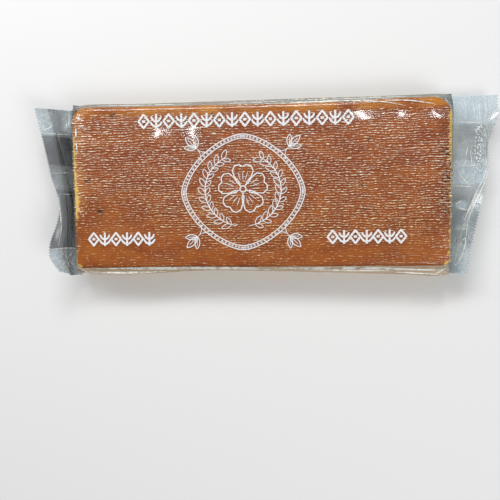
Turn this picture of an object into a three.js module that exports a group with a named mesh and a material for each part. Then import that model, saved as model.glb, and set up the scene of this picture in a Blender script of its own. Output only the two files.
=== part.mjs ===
// A slab of nougat sealed in a clear film sleeve, lying on its back with the toasted face up.
// The film is drawn flat over the slab. At each end it closes to a flat fin with a saw-cut edge,
// and each fin is pleated and curled up, as a packed sweet's ends are after handling.
// Units are millimetres: X along the slab, Y across it, Z up from the surface it lies on.

import * as THREE from "three";

// The slab and the film that is drawn over it. Its back edge is given as [x, y] pairs, and it
// grows longer towards its back by slabSpread, as a share for each millimetre.
const slabLeft = -92.3;
const slabRight = 91.5;
const slabSpread = 0.00016;
const slabFront = -38.9;
const slabBack = [[-92, 41.2], [-50, 40.9], [20, 40.9], [45, 41.2], [65, 42], [92, 42.3]];
const packHeight = 16;
const edgeRound = 2.5;
const edgeDrop = 1.3;
const edgeDropLimit = 1.6;
const edgeDropPower = 1.5;
const endDrop = 0.5;
const cornerReach = 9;
const cornerDrop = 2.2;

// The film's creases along the slab's long sides, with the two lips as [x, y] pairs
const lipFront = [
  [-92, -40.4], [-82, -41.5], [-65, -42], [-28, -40.2], [5, -40.7],
  [45, -41.9], [70, -42.7], [85, -43.5], [92, -42.8],
];
const lipBack = [[-92, 41.9], [-80, 42.4], [-60, 42.1], [-20, 42.5], [30, 42.9], [70, 43.1], [92, 43.7]];
const underLipHeight = 12.2;
const sideCreaseHeight = 9.5;
const lowSideHeight = 3;
const sideGap = 1.1;
const creaseGap = 0.4;
const skirtHeight = 0.5;
const skirtProud = 2;

// The fins at the two ends. Distances along them are measured from finStart.
const finStart = 90;
const finRootHeight = 5.5;
const finThickness = 0.9;
const wedgeLength = 3;
const tuckDepth = 8;
const toothDepth = 0.8;
const toothGap = 0.15;
const teethPerColumn = 3;
const pleatThickness = 0.6;
const pleatEdge = 0.4;
const finWave = 0.5;
const finWaves = 2.5;

// The flat strip of the back seam, where it shows under the fins
const seamFrom = 1;
const seamTo = 12.5;
const seamThickness = 0.35;

// How finely the surface is cut up
const topColumns = 20;
const endPlaces = [0, 1.2, 2.6, 4.2, 9];
const middlePlaces = 15;
const edgeCrowding = 0.6;
const wedgeStations = 3;
const innerFinStations = 3;
const outerFinStations = 5;
const bendSteps = 24;

// Each fin, as [place across the fin from front 0 to back 1, value] pairs.
// overlap is how far a pleat doubles back, in millimetres, and pleat is where it starts.
// turn is the most that the fin has turned up from level, in radians.
const leftFin = {
  side: -1,
  front: -42.5,
  back: 41.2,
  width: 24,
  overlap: [[0, 2.7], [0.15, 2.1], [0.42, 4.2], [0.6, 2.6], [0.75, 1.8], [0.88, 1.1], [1, 0]],
  pleat: [[0, 8], [0.2, 7.6], [0.42, 7.4], [0.6, 10], [0.8, 13.4], [1, 15.4]],
  turn: [
    [0, 1.5], [0.1, 1.08], [0.2, 0.97], [0.3, 1.18], [0.42, 1.3],
    [0.6, 1.09], [0.8, 0.84], [0.9, 0.66], [1, 0.6],
  ],
  curls: true,
};
const rightFin = {
  side: 1,
  front: -42.8,
  back: 44,
  width: 26,
  overlap: [[0, 6], [0.12, 6.2], [0.35, 4], [0.6, 2.2], [0.72, 1.2], [0.82, 0.2], [1, 0]],
  pleat: [[0, 3.9], [0.1, 4], [0.25, 8.4], [0.6, 18], [0.74, 20.8], [0.85, 21.2], [1, 21.4]],
  turn: [
    [0, 0.95], [0.12, 0.68], [0.35, 0.66], [0.5, 0.42], [0.6, 0.5],
    [0.72, 1.35], [0.8, 1.3], [0.9, 0.3], [1, 0.25],
  ],
  curls: false,
};

// How the fins bend: over creaseLength at a crease, or in a curl that rises over the first share
// of the fin and flattens again over the last
const creaseLength = 3;
const curlRise = 0.35;
const curlTop = 0.6;
const curlFlatten = 0.65;
const cornerRoll = { below: 0.12, from: 8, pull: 2.6 };

const { clamp, lerp, smoothstep } = THREE.MathUtils;

// The value at one place of a smooth curve through the points of a profile.
function profileAt(pairs, place) {
  const last = pairs.length - 1;
  const at = clamp(place, pairs[0][0], pairs[last][0]);
  let i = 0;
  while (i < last - 1 && at > pairs[i + 1][0]) i++;
  const slope = (k) => {
    const [before, low] = pairs[Math.max(k - 1, 0)];
    const [after, high] = pairs[Math.min(k + 1, last)];
    return (high - low) / (after - before);
  };
  const [from, low] = pairs[i];
  const [to, high] = pairs[i + 1];
  const span = to - from;
  const t = (at - from) / span;
  const eased = t * t * (3 - 2 * t);
  const bend = t * (1 - t) * span * ((1 - t) * slope(i) - t * slope(i + 1));
  return lerp(low, high, eased) + bend;
}

// How far a pleat doubles back at one place across the fin.
function overlapAt(fin, place) {
  return Math.max(0, profileAt(fin.overlap, place));
}

// The height of the film over the slab, lower at its long edges, ends and rounded corners.
function topHeight(x, y) {
  const back = profileAt(slabBack, x);
  const over = Math.max(0, slabFront + edgeRound - y, y - back + edgeRound) / edgeRound;
  const fromEnd = Math.min(x - slabLeft, slabRight - x);
  const past = 1 - smoothstep(fromEnd, 0, edgeRound);
  const cornerX = 1 - smoothstep(fromEnd, 0, cornerReach);
  const cornerY = smoothstep(y, back - cornerReach, back);
  const edge = edgeDrop * Math.min(over, edgeDropLimit) ** edgeDropPower;
  return packHeight - edge - endDrop * past - cornerDrop * cornerX * cornerY;
}

// The length of the fin's surface from its start to its cut edge, with the pleat taken out.
function finReach(fin, place) {
  return fin.width - 2 * overlapAt(fin, place);
}

// How far the fin has turned up from level at a distance along it.
function finAngle(fin, place, distance) {
  const turn = profileAt(fin.turn, place);
  if (fin.curls) {
    const share = (distance - wedgeLength) / (finReach(fin, place) - wedgeLength);
    return turn * (smoothstep(share, 0, curlRise) - curlFlatten * smoothstep(share, curlTop, 1));
  }
  const crease = profileAt(fin.pleat, place);
  return turn * smoothstep(distance, crease - creaseLength / 2, crease + creaseLength / 2);
}

// The middle of the fin's thickness at a distance along it: x, z and the angle there.
function finMiddle(fin, place, distance) {
  const step = distance / bendSteps;
  let reach = 0;
  let rise = 0;
  for (let i = 0; i < bendSteps; i++) {
    const angle = finAngle(fin, place, (i + 0.5) * step);
    reach += Math.cos(angle) * step;
    rise += Math.sin(angle) * step;
  }
  const wave = finWave * Math.sin(finWaves * 2 * Math.PI * place) * smoothstep(distance, wedgeLength, fin.width);
  return {
    x: fin.side * (finStart + reach),
    z: finRootHeight + rise + wave,
    angle: finAngle(fin, place, distance),
  };
}

// A share across the top, moved so that the columns crowd towards the long edges.
function crowded(share) {
  return share - (edgeCrowding * Math.sin(2 * Math.PI * share)) / (2 * Math.PI);
}

// One closed ring round the slab: over the top from front to back, down the back, and home below.
function bodyRing(x) {
  const back = profileAt(slabBack, x);
  const ring = [];
  for (let i = 0; i <= topColumns; i++) {
    const y = lerp(profileAt(lipFront, x), profileAt(lipBack, x), crowded(i / topColumns));
    ring.push([y, topHeight(x, y)]);
  }
  ring.push(...sidePoints(back, 1));
  for (let i = topColumns; i >= 0; i--) {
    const y = lerp(slabFront - skirtProud, back + skirtProud, i / topColumns);
    ring.push([y, i === 0 || i === topColumns ? skirtHeight : 0]);
  }
  ring.push(...sidePoints(slabFront, -1).reverse());
  return ring.map(([y, z]) => [x * (1 + slabSpread * y), y, z]);
}

// The three creases of the film down one long side, from the top, as [y, z] pairs.
function sidePoints(slabSide, way) {
  return [
    [slabSide + way * sideGap, underLipHeight],
    [slabSide + way * creaseGap, sideCreaseHeight],
    [slabSide + way * sideGap, lowSideHeight],
  ];
}

// How much the front corner of the left fin is rolled in across the pack.
function rolledIn(fin, place, distance) {
  if (fin.side > 0 || place > cornerRoll.below) return 0;
  const out = smoothstep(distance, cornerRoll.from, fin.width / 2 + cornerRoll.from);
  return cornerRoll.pull * out * (1 - place / cornerRoll.below);
}

// One point on the fin's upper or lower face, at a distance along it.
function finPoint(fin, place, distance, offset) {
  const middle = finMiddle(fin, place, distance);
  return [
    middle.x - fin.side * Math.sin(middle.angle) * offset,
    lerp(fin.front, fin.back, place) + rolledIn(fin, place, distance),
    middle.z + Math.cos(middle.angle) * offset,
  ];
}

// A ring of the fin. distanceAt gives the distance along the fin at each place across it,
// and raised is how much a pleat thickens it there.
function finRing(fin, distanceAt, raised) {
  const ring = [];
  const half = finThickness / 2;
  for (let i = 0; i <= topColumns; i++) {
    const place = i / topColumns;
    ring.push(finPoint(fin, place, distanceAt(place), half + raised * pleated(fin, place)));
  }
  ring.push(...finEdge(fin, 1, distanceAt(1)));
  for (let i = topColumns; i >= 0; i--) {
    const place = i / topColumns;
    ring.push(finPoint(fin, place, distanceAt(place), -half - seamThickness * onSeam(fin, place)));
  }
  ring.push(...finEdge(fin, 0, distanceAt(0)).reverse());
  return ring;
}

// 1 where the pleat is wide enough to stand up from the fin, down to 0 where it ends.
function pleated(fin, place) {
  return smoothstep(overlapAt(fin, place), 0, 2);
}

// 1 across the strip of the back seam and 0 beside it.
function onSeam(fin, place) {
  const y = lerp(fin.front, fin.back, place);
  return y > seamFrom && y < seamTo ? 1 : 0;
}

// The long edge of a fin: three points with the middle one in, where the side film is tucked.
function finEdge(fin, place, distance) {
  const quarter = finThickness / 4;
  const out = place === 1 ? quarter : -quarter;
  return [quarter, 0, -quarter].map((offset) => {
    const point = finPoint(fin, place, distance, offset);
    point[1] += offset === 0 ? -out : out;
    return point;
  });
}

// A ring of the wedge where the film comes in from the slab's end to the fin, with its sides
// tucked in as a bellows. share runs from 0 at the slab to 1 at the fin.
function wedgeRing(fin, share) {
  const from = bodyRing(fin.side < 0 ? slabLeft : slabRight);
  const to = finRing(fin, () => wedgeLength, 0);
  const tuck = tuckDepth * Math.sin(Math.PI * share);
  return from.map((point, i) => {
    const mixed = point.map((value, axis) => lerp(value, to[i][axis], share));
    const backTuck = i - topColumns - 1;
    const frontTuck = from.length - 1 - i;
    if (backTuck >= 0 && backTuck < 3) mixed[1] -= tuck * (backTuck === 1 ? 1 : 0.5);
    if (frontTuck >= 0 && frontTuck < 3) mixed[1] += tuck * (frontTuck === 1 ? 1 : 0.5);
    return mixed;
  });
}

// The rings of one fin, from the wedge to the bottom of its teeth.
function finRings(fin) {
  const rings = [];
  for (let i = 1; i < wedgeStations; i++) rings.push(wedgeRing(fin, i / wedgeStations));
  rings.push(finRing(fin, () => wedgeLength, 0));
  const pleat = (place) => profileAt(fin.pleat, place);
  const pleatEnd = (place) => pleat(place) + Math.max(overlapAt(fin, place), pleatEdge);
  const before = (place) => pleat(place) - pleatEdge;
  const after = (place) => pleatEnd(place) + pleatEdge;
  const toothRoot = (place) => Math.max(finReach(fin, place) - toothDepth, after(place) + pleatEdge);
  for (let i = 1; i < innerFinStations; i++) {
    rings.push(finRing(fin, (place) => lerp(wedgeLength, before(place), i / innerFinStations), 0));
  }
  rings.push(finRing(fin, before, 0));
  rings.push(finRing(fin, pleat, pleatThickness));
  rings.push(finRing(fin, pleatEnd, pleatThickness));
  for (let i = 0; i <= outerFinStations; i++) {
    rings.push(finRing(fin, (place) => lerp(after(place), toothRoot(place), i / outerFinStations), 0));
  }
  return { rings, toothRoot };
}

// The saw-cut edge: points over and under each tooth tip and each gap, from front to back.
function sawEdge(fin, toothRoot) {
  const steps = topColumns * teethPerColumn * 2;
  const over = [];
  const under = [];
  for (let i = 0; i <= steps; i++) {
    const place = i / steps;
    const distance = toothRoot(place) + (i % 2 ? toothDepth : toothGap);
    over.push(finPoint(fin, place, distance, finThickness / 2));
    under.push(finPoint(fin, place, distance, -finThickness / 2));
  }
  return { over, under };
}

// The surface, gathered as points and triangles that face out.
class Surface {
  constructor() {
    this.points = [];
    this.triangles = [];
  }

  add(list) {
    const first = this.points.length / 3;
    for (const point of list) this.points.push(...point);
    return list.map((_, i) => first + i);
  }

  triangle(a, b, c, flipped) {
    this.triangles.push(...(flipped ? [a, c, b] : [a, b, c]));
  }

  // Joins two rings of the same number of points. next lies towards +X unless flipped.
  joinRings(ring, next, flipped) {
    for (let i = 0; i < ring.length; i++) {
      const j = (i + 1) % ring.length;
      this.triangle(ring[i], next[i], next[j], flipped);
      this.triangle(ring[i], next[j], ring[j], flipped);
    }
  }

  // Joins a row of coarse points to the finer row of teeth beyond it, in equal fans.
  joinTeeth(coarse, fine, flipped) {
    const share = (fine.length - 1) / (coarse.length - 1);
    for (let i = 0; i < coarse.length - 1; i++) {
      const half = i * share + share / 2;
      for (let k = i * share; k < (i + 1) * share; k++) {
        this.triangle(coarse[k < half ? i : i + 1], fine[k], fine[k + 1], flipped);
      }
      this.triangle(coarse[i], fine[half], coarse[i + 1], flipped);
    }
  }
}

// Closes a fin with its saw-cut edge, beyond its last ring.
function closeFin(surface, fin, last, toothRoot) {
  const flipped = fin.side < 0;
  const { over, under } = sawEdge(fin, toothRoot);
  const top = surface.add(over);
  const bottom = surface.add(under);
  const lastTop = last.slice(0, topColumns + 1);
  const backEdge = last.slice(topColumns + 1, topColumns + 4);
  const lastBottom = last.slice(topColumns + 4, 2 * topColumns + 5).reverse();
  const frontEdge = last.slice(2 * topColumns + 5).reverse();
  surface.joinTeeth(lastTop, top, flipped);
  surface.joinTeeth(lastBottom, bottom, !flipped);
  for (let k = 0; k < top.length - 1; k++) {
    surface.triangle(top[k], bottom[k], bottom[k + 1], flipped);
    surface.triangle(top[k], bottom[k + 1], top[k + 1], flipped);
  }
  closeFinSide(surface, lastTop.at(-1), backEdge, lastBottom.at(-1), top.at(-1), bottom.at(-1), flipped);
  closeFinSide(surface, lastTop[0], frontEdge, lastBottom[0], top[0], bottom[0], !flipped);
}

// The small face at one end of the saw-cut edge, between the fin's last ring and the end tooth.
function closeFinSide(surface, above, edge, below, tipTop, tipBottom, flipped) {
  const rim = [above, ...edge, below];
  for (let k = 0; k < rim.length - 1; k++) {
    surface.triangle(rim[k], k < 2 ? tipTop : tipBottom, rim[k + 1], flipped);
  }
  surface.triangle(rim[2], tipTop, tipBottom, flipped);
}

// Where the rings of the slab stand, closer together at its two ends.
function bodyPlaces() {
  const left = endPlaces.map((fromEnd) => slabLeft + fromEnd);
  const right = endPlaces.map((fromEnd) => slabRight - fromEnd).reverse();
  const middle = [];
  for (let i = 1; i <= middlePlaces; i++) middle.push(lerp(left.at(-1), right[0], i / (middlePlaces + 1)));
  return [...left, ...middle, ...right];
}

function packGeometry() {
  const surface = new Surface();
  const body = bodyPlaces().map((x) => surface.add(bodyRing(x)));
  for (let i = 0; i < body.length - 1; i++) surface.joinRings(body[i], body[i + 1], false);
  for (const fin of [leftFin, rightFin]) {
    const { rings, toothRoot } = finRings(fin);
    let previous = fin.side < 0 ? body[0] : body.at(-1);
    for (const ring of rings) {
      const added = surface.add(ring);
      surface.joinRings(previous, added, fin.side < 0);
      previous = added;
    }
    closeFin(surface, fin, previous, toothRoot);
  }
  const geometry = new THREE.BufferGeometry();
  geometry.setAttribute("position", new THREE.Float32BufferAttribute(surface.points, 3));
  geometry.setIndex(surface.triangles);
  geometry.computeVertexNormals();
  return geometry;
}

const toastedUnderFilm = new THREE.MeshStandardMaterial({ color: 0xb4560f, roughness: 0.25, metalness: 0 });
const sealedPack = new THREE.Mesh(packGeometry(), toastedUnderFilm);
sealedPack.name = "sealed_pack";

const nougatBlock = new THREE.Group();
nougatBlock.name = "nougat_block";
nougatBlock.add(sealedPack);

export default nougatBlock;
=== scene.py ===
# A slab of toasted nougat sealed in a clear film sleeve, lying with its toasted face up.
# The film is one tube of thin film: drawn over the slab, tucked in at its sides, and closed to
# a saw-cut fin at each end. Lengths here are in millimetres until a mesh is made.

import math

import bpy
import numpy as np
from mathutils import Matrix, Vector


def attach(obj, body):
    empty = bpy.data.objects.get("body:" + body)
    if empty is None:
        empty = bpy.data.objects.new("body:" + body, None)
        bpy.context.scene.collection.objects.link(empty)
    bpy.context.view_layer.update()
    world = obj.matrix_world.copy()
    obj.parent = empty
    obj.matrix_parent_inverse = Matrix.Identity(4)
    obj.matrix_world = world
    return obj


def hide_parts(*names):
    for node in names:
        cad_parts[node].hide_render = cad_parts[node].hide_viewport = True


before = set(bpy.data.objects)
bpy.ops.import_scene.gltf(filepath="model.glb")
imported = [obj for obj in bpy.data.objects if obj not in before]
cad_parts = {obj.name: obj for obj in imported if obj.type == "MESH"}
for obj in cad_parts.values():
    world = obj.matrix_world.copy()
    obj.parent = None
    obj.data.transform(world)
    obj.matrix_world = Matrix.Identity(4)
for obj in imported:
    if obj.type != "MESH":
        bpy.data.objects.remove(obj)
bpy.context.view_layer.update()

MM = 0.001

# The slab and the film over it, the same sizes as the solid
SLAB_LEFT = -92.3
SLAB_RIGHT = 91.5
SLAB_SPREAD = 0.00016
SLAB_FRONT = -38.9
SLAB_BACK = [(-92, 41.2), (-50, 40.9), (20, 40.9), (45, 41.2), (65, 42), (92, 42.3)]
SLAB_TOP = 15.45
SLAB_UNDER = 0.4
PACK_HEIGHT = 16.0
FILM_LEVEL = PACK_HEIGHT - 0.12
EDGE_ROUND = 2.5
EDGE_DROP = 1.3
EDGE_DROP_LIMIT = 1.6
EDGE_DROP_POWER = 1.5
END_DROP = 0.5
CORNER_REACH = 9.0
CORNER_DROP = 2.2
LIP_FRONT = [(-92, -40.4), (-82, -41.5), (-65, -42), (-28, -40.2), (5, -40.7), (45, -41.9),
             (70, -42.7), (85, -43.5), (92, -42.8)]
LIP_BACK = [(-92, 41.9), (-80, 42.4), (-60, 42.1), (-20, 42.5), (30, 42.9), (70, 43.1), (92, 43.7)]
UNDER_LIP_HEIGHT = 12.2
SIDE_CREASE_HEIGHT = 9.5
LOW_SIDE_HEIGHT = 3.0
SIDE_GAP = 1.1
CREASE_GAP = 0.4
SKIRT_PROUD = 2.0
SKIRT_HEIGHT = 0.5
UNDER_HEIGHT = 0.22

# The highlights on the face: where the film mirrors a lamp, and the lamp's length and width
GLINTS = [
    (-49.8, 27.0, (19, 9)), (-45.2, 28.6, (13, 7)), (-32.5, 27.6, (22, 12)),
    (49.0, 33.7, (54, 8)), (67.5, 33.8, (15, 7)), (84.3, 33.6, (22, 8)),
]
# Half the length and width of each smooth spot: a share of the lamp's, and this much more
CALM_SHARE = 0.13
CALM_LONG = 3.2
CALM_WIDE = 1.3

# The fins. Distances along them are measured from FIN_START.
FIN_START = 90.0
FIN_ROOT_HEIGHT = 5.5
WEDGE = 3.0
FIN_WAVE = 0.5
FIN_WAVES = 2.5
TEETH = 60
TOOTH_DEPTH = 0.8
TUCK_COLUMNS = 19
FILM_GAP = 0.12
PLEAT_LIFT = 0.45
FOLD_SOFTNESS = 0.15
FIN_PUFF = 0.22
FIN_CRUMPLE_DEPTH = 0.1
LEFT_FIN = {
    "side": -1,
    "front": -42.5,
    "back": 41.2,
    "width": 24.0,
    "overlap": [(0, 2.7), (0.15, 2.1), (0.42, 4.2), (0.6, 2.6), (0.75, 1.8), (0.88, 1.1), (1, 0)],
    "pleat": [(0, 8), (0.2, 7.6), (0.42, 7.4), (0.6, 10), (0.8, 13.4), (1, 15.4)],
    "turn": [(0, 1.5), (0.1, 1.08), (0.2, 0.97), (0.3, 1.18), (0.42, 1.3), (0.6, 1.09),
             (0.8, 0.84), (0.9, 0.66), (1, 0.6)],
    "curls": True,
    # Milky spots, several of them painted highlights
    "milky": [(8, 35, 3, 7, 0.3), (7, -34, 3, 6, 0.12), (16.5, -8, 2.5, 16, 0.1)],
    "crushed": [(18, 35, 5, 6, 0.22)],
    # White crease lines, partly painted highlights on the folds
    "creases": [
        ([(11.2, -34.1), (14.3, -30.4)], 0.3), ([(11.2, -34.1), (7.7, -37.8)], 0.3),
        ([(11.2, -34.1), (16.2, -38.5)], 0.3), ([(11.2, -34.1), (8.5, -31.2)], 0.3),
        ([(11.2, -34.1), (11.4, -39.5)], 0.25), ([(11.2, -34.1), (12.4, -29.4)], 0.25),
        ([(6.4, 29.2), (13, 28.6), (19.8, 28.3)], 0.3), ([(6.4, 9.8), (12, 9.2), (18.0, 8.5)], 0.28),
        ([(6.6, -1.2), (11, -1.5), (15.6, -1.7)], 0.28), ([(5.4, -28.8), (12, -28.4), (18, -28.9)], 0.4),
        ([(15.4, -2), (15.3, -8), (15, -14), (14.6, -22), (15.4, -28)], 0.35),
        ([(7, 40), (7.6, 36), (7.2, 31)], 0.5), ([(8.6, 39.5), (9, 36), (8.4, 32)], 0.3),
        ([(15.6, 33), (17.4, 31), (19.6, 30.4)], 0.4), ([(21.6, 36), (20.4, 32), (18.6, 29.5)], 0.3),
    ],
}
RIGHT_FIN = {
    "side": 1,
    "front": -42.8,
    "back": 44.0,
    "width": 26.0,
    "overlap": [(0, 6), (0.12, 6.2), (0.35, 4), (0.6, 2.2), (0.72, 1.2), (0.82, 0.2), (1, 0)],
    "pleat": [(0, 3.9), (0.1, 4), (0.25, 8.4), (0.6, 18), (0.74, 20.8), (0.85, 21.2), (1, 21.4)],
    "turn": [(0, 0.95), (0.12, 0.68), (0.35, 0.66), (0.5, 0.42), (0.6, 0.5), (0.72, 1.35),
             (0.8, 1.3), (0.9, 0.3), (1, 0.25)],
    "curls": False,
    # Milky spots, several of them painted highlights
    "milky": [(9, -9.4, 3.6, 2.6, 0.35), (9.5, 3.6, 2.6, 4.5, 0.2), (8.5, 13, 1.6, 8, 0.18),
              (16, 37, 2, 6, 0.2), (9.5, 37, 3, 5, 0.12), (9.3, -20, 3, 1.6, 0.2)],
    "crushed": [(17.8, 26, 3.2, 5.5, 1.0), (17, 17, 3, 6, 1.0), (17.6, 10, 2.4, 4, 0.8),
                (17, 38, 2.5, 6, 0.3)],
    # White crease lines, partly painted highlights on the folds
    "creases": [
        ([(20.7, 29.9), (21.1, 17.2), (20.8, 9.9), (19.7, 4.5), (16.5, -2.1), (13.8, -9.4),
          (10.9, -15.3), (8.0, -21.6), (5.7, -29.1), (4.7, -32.4), (4.5, -35.3), (6.3, -37.2)], 0.42),
        ([(21.7, 9.9), (20.8, 4.5), (18.2, -2.3), (15.6, -8.5), (13.4, -13.9), (12.0, -19.1),
          (11.5, -25.1), (11.0, -27.0)], 0.4),
        ([(6.2, -36.4), (7.1, -31.5), (9.1, -27.5), (10.8, -25.2), (11.4, -26.4), (10.6, -31.3),
          (8.8, -36.2), (6.9, -39.1), (6.1, -38.3), (6.7, -34.8), (8.6, -29.9), (10.0, -27.0)], 0.4),
        ([(20.2, 31.0), (22.9, 34.1), (25.4, 37.2)], 0.45),
        ([(20.3, 30.4), (23.0, 31.5), (25.4, 33.2)], 0.35),
        ([(6.5, 32), (6.6, 27)], 0.3), ([(11.9, 20.0), (10.9, 15.1), (10.4, 8.7)], 0.6),
        ([(12.8, 17.6), (13.8, 12.7), (13.3, 8.7)], 0.3),
        ([(13.6, 42.6), (14.5, 37.7), (14.6, 32.9)], 0.35),
        ([(16.5, 43.1), (17.3, 36.7), (17.4, 31.0)], 0.4),
        ([(19.3, 43.5), (20.2, 36.7), (20.2, 31.0)], 0.35),
        ([(5.1, 31.3), (12.7, 31.1), (20.7, 29.9)], 0.45), ([(5.6, 10.3), (12.9, 9.7), (19.4, 10.4)], 0.3),
        ([(4.6, 0), (8, 0), (13.8, -0.5)], 0.5), ([(5.7, -21.1), (11.9, -21.2)], 0.4),
        ([(7, 6.8), (12.8, -0.3)], 0.4), ([(5.7, -9.2), (9.1, -7.0)], 0.4),
        ([(6.4, -10.4), (13, -12.2)], 0.5),
        ([(9.8, 41.5), (10.6, 36), (9.8, 32.5)], 0.25), ([(7.4, 38), (9.6, 35), (11, 32)], 0.25),
    ],
}
CREASE_LENGTH = 3.0
CURL_RISE = 0.35
CURL_TOP = 0.6
CURL_FLATTEN = 0.65
CORNER_ROLL_BELOW = 0.12
CORNER_ROLL_FROM = 8.0
CORNER_ROLL_PULL = 2.6

# How far apart the film's fine ridges lie over the slab
RIDGE_PITCH = 1.15

# How finely the film is cut up
TOP_COLUMNS = 360
UNDER_COLUMNS = 120
BODY_ROWS = 78
END_CROWDING = 0.75
EDGE_CROWDING = 0.4
WEDGE_ROWS = 4
INNER_ROWS = 8
BACK_ROWS = 4
OUTER_ROWS = 26


def smooth(low, high, value):
    """0 below low, 1 above high, and an eased step between them."""
    share = np.clip((value - low) / (high - low), 0.0, 1.0)
    return share * share * (3.0 - 2.0 * share)


def lerp(start, end, share):
    return start + (end - start) * share


def profile(pairs, place):
    """The value at each place of a smooth curve through the points of a profile."""
    at, value = np.array(pairs, dtype=float).T
    slope = np.empty(len(at))
    slope[1:-1] = (value[2:] - value[:-2]) / (at[2:] - at[:-2])
    slope[0] = (value[1] - value[0]) / (at[1] - at[0])
    slope[-1] = (value[-1] - value[-2]) / (at[-1] - at[-2])
    place = np.clip(place, at[0], at[-1])
    i = np.clip(np.searchsorted(at, place) - 1, 0, len(at) - 2)
    span = at[i + 1] - at[i]
    t = (place - at[i]) / span
    bend = t * (1 - t) * span * ((1 - t) * slope[i] - t * slope[i + 1])
    return lerp(value[i], value[i + 1], t * t * (3 - 2 * t)) + bend


def pleat_overlap(fin, place):
    """How far the pleat doubles back at each place across the fin."""
    return np.maximum(0, profile(fin["overlap"], place))


class Waves:
    """Smooth seeded relief: a sum of plane waves whose lengths lie in the given ranges."""

    def __init__(self, seed, along, across, count=26):
        draw = np.random.default_rng(seed)
        sign = draw.choice([-1.0, 1.0], count)
        self.along = sign * 2 * math.pi / draw.uniform(*along, count)
        self.across = 2 * math.pi / draw.uniform(*across, count)
        self.phase = draw.uniform(0, 2 * math.pi, count)
        self.scale = math.sqrt(2.0 / count)

    def __call__(self, x, y):
        total = np.zeros(np.broadcast(x, y).shape)
        for along, across, phase in zip(self.along, self.across, self.phase):
            total += np.cos(along * x + across * y + phase)
        return total * self.scale


FINE_RIPPLE = Waves(11, along=(7, 26), across=(1.15, 2.1), count=36)
BROAD_RIPPLE = Waves(12, along=(18, 60), across=(3.5, 9))
RIPPLE_PATCHES = Waves(13, along=(20, 60), across=(10, 35), count=14)
FIN_CRUMPLE = Waves(14, along=(3.5, 11), across=(5, 22))
FIN_CRUMPLE_UNDER = Waves(15, along=(4, 12), across=(5, 22))
SIDE_RIPPLE = Waves(16, along=(3, 12), across=(6, 30))


def from_end(x):
    """How far a place is from the slab's nearer end."""
    return np.minimum(x - SLAB_LEFT, SLAB_RIGHT - x)


def film_base(x, y):
    """The height of the film over the slab, without its ripples."""
    back = profile(SLAB_BACK, x)
    over = np.maximum(0, np.maximum(SLAB_FRONT + EDGE_ROUND - y, y - back + EDGE_ROUND))
    over = np.minimum(over / EDGE_ROUND, EDGE_DROP_LIMIT)
    past = smooth(EDGE_ROUND, 0, from_end(x))
    corner_x = smooth(CORNER_REACH, 0, from_end(x))
    corner_y = smooth(back - CORNER_REACH, back, y)
    drop = EDGE_DROP * over ** EDGE_DROP_POWER + END_DROP * past + CORNER_DROP * corner_x * corner_y
    return FILM_LEVEL - drop


def calm(x, y):
    """1 at the spots of the film that show a highlight, and 0 away from them."""
    total = np.zeros(np.broadcast(x, y).shape)
    for spot_x, spot_y, (long, wide) in GLINTS:
        half_long = CALM_SHARE * long + CALM_LONG
        half_wide = CALM_SHARE * wide + CALM_WIDE
        away = np.hypot((x - spot_x) / half_long, (y - spot_y) / half_wide)
        total = np.maximum(total, smooth(1.35, 0.95, away))
    return total


def film_ripple(x, y):
    """The fine ripples of the film, which run along the slab and grow towards its ends."""
    patches = 0.6 + 0.4 * np.tanh(RIPPLE_PATCHES(x, y))
    to_end = smooth(14, 2, from_end(x))
    pressed = (1 - 0.75 * smooth(34.5, 37.5, y)) * (1 - 0.99 * calm(x, y))
    fine = (0.016 + 0.016 * patches + 0.03 * to_end) * FINE_RIPPLE(x, y)
    return pressed * np.clip(fine + 0.025 * BROAD_RIPPLE(x, y), -0.15, 0.15)


def film_height(x, y):
    return film_base(x, y) + film_ripple(x, y)


def fin_reach(fin, place):
    """The length of the fin's surface from its start to its cut edge, with the pleat out."""
    return fin["width"] - 2 * pleat_overlap(fin, place)


def fin_angle(fin, place, distance):
    turn = profile(fin["turn"], place)
    if fin["curls"]:
        share = (distance - WEDGE) / (fin_reach(fin, place) - WEDGE)
        return turn * (smooth(0, CURL_RISE, share) - CURL_FLATTEN * smooth(CURL_TOP, 1, share))
    crease = profile(fin["pleat"], place)
    return turn * smooth(crease - CREASE_LENGTH / 2, crease + CREASE_LENGTH / 2, distance)


def fin_middle(fin, place, distance):
    """The middle of the fin at each place and distance along it: reach, height, angle."""
    steps = 48
    reach = np.zeros(distance.shape)
    rise = np.zeros(distance.shape)
    for step in range(steps):
        angle = fin_angle(fin, place, distance * (step + 0.5) / steps)
        reach += np.cos(angle) * distance / steps
        rise += np.sin(angle) * distance / steps
    wave = FIN_WAVE * np.sin(FIN_WAVES * 2 * math.pi * place) * smooth(WEDGE, fin["width"], distance)
    return reach, FIN_ROOT_HEIGHT + rise + wave, fin_angle(fin, place, distance)


def fin_points(fin, place, distance, offset):
    """Points of a sheet of the fin that lies offset above its middle."""
    reach, height, angle = fin_middle(fin, place, distance)
    x = fin["side"] * (FIN_START + reach - np.sin(angle) * offset)
    y = lerp(fin["front"], fin["back"], place)
    if fin["side"] < 0:
        out = smooth(CORNER_ROLL_FROM, fin["width"] / 2 + CORNER_ROLL_FROM, distance)
        y = y + CORNER_ROLL_PULL * out * np.clip(1 - place / CORNER_ROLL_BELOW, 0, 1)
    z = height + np.cos(angle) * offset
    return np.stack([x, np.broadcast_to(y, x.shape), z], axis=-1)


def tooth(place):
    """0 in the gap between two teeth of the cut edge, and 1 at a tooth's tip."""
    return 1 - np.abs(2 * ((place * TEETH) % 1.0) - 1)


# The ring of columns round the film: over the top from front to back, down the back side,
# which is folded in, forward along the underside, and up the front side
TUCK_SHARE = TUCK_COLUMNS / UNDER_COLUMNS


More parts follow.
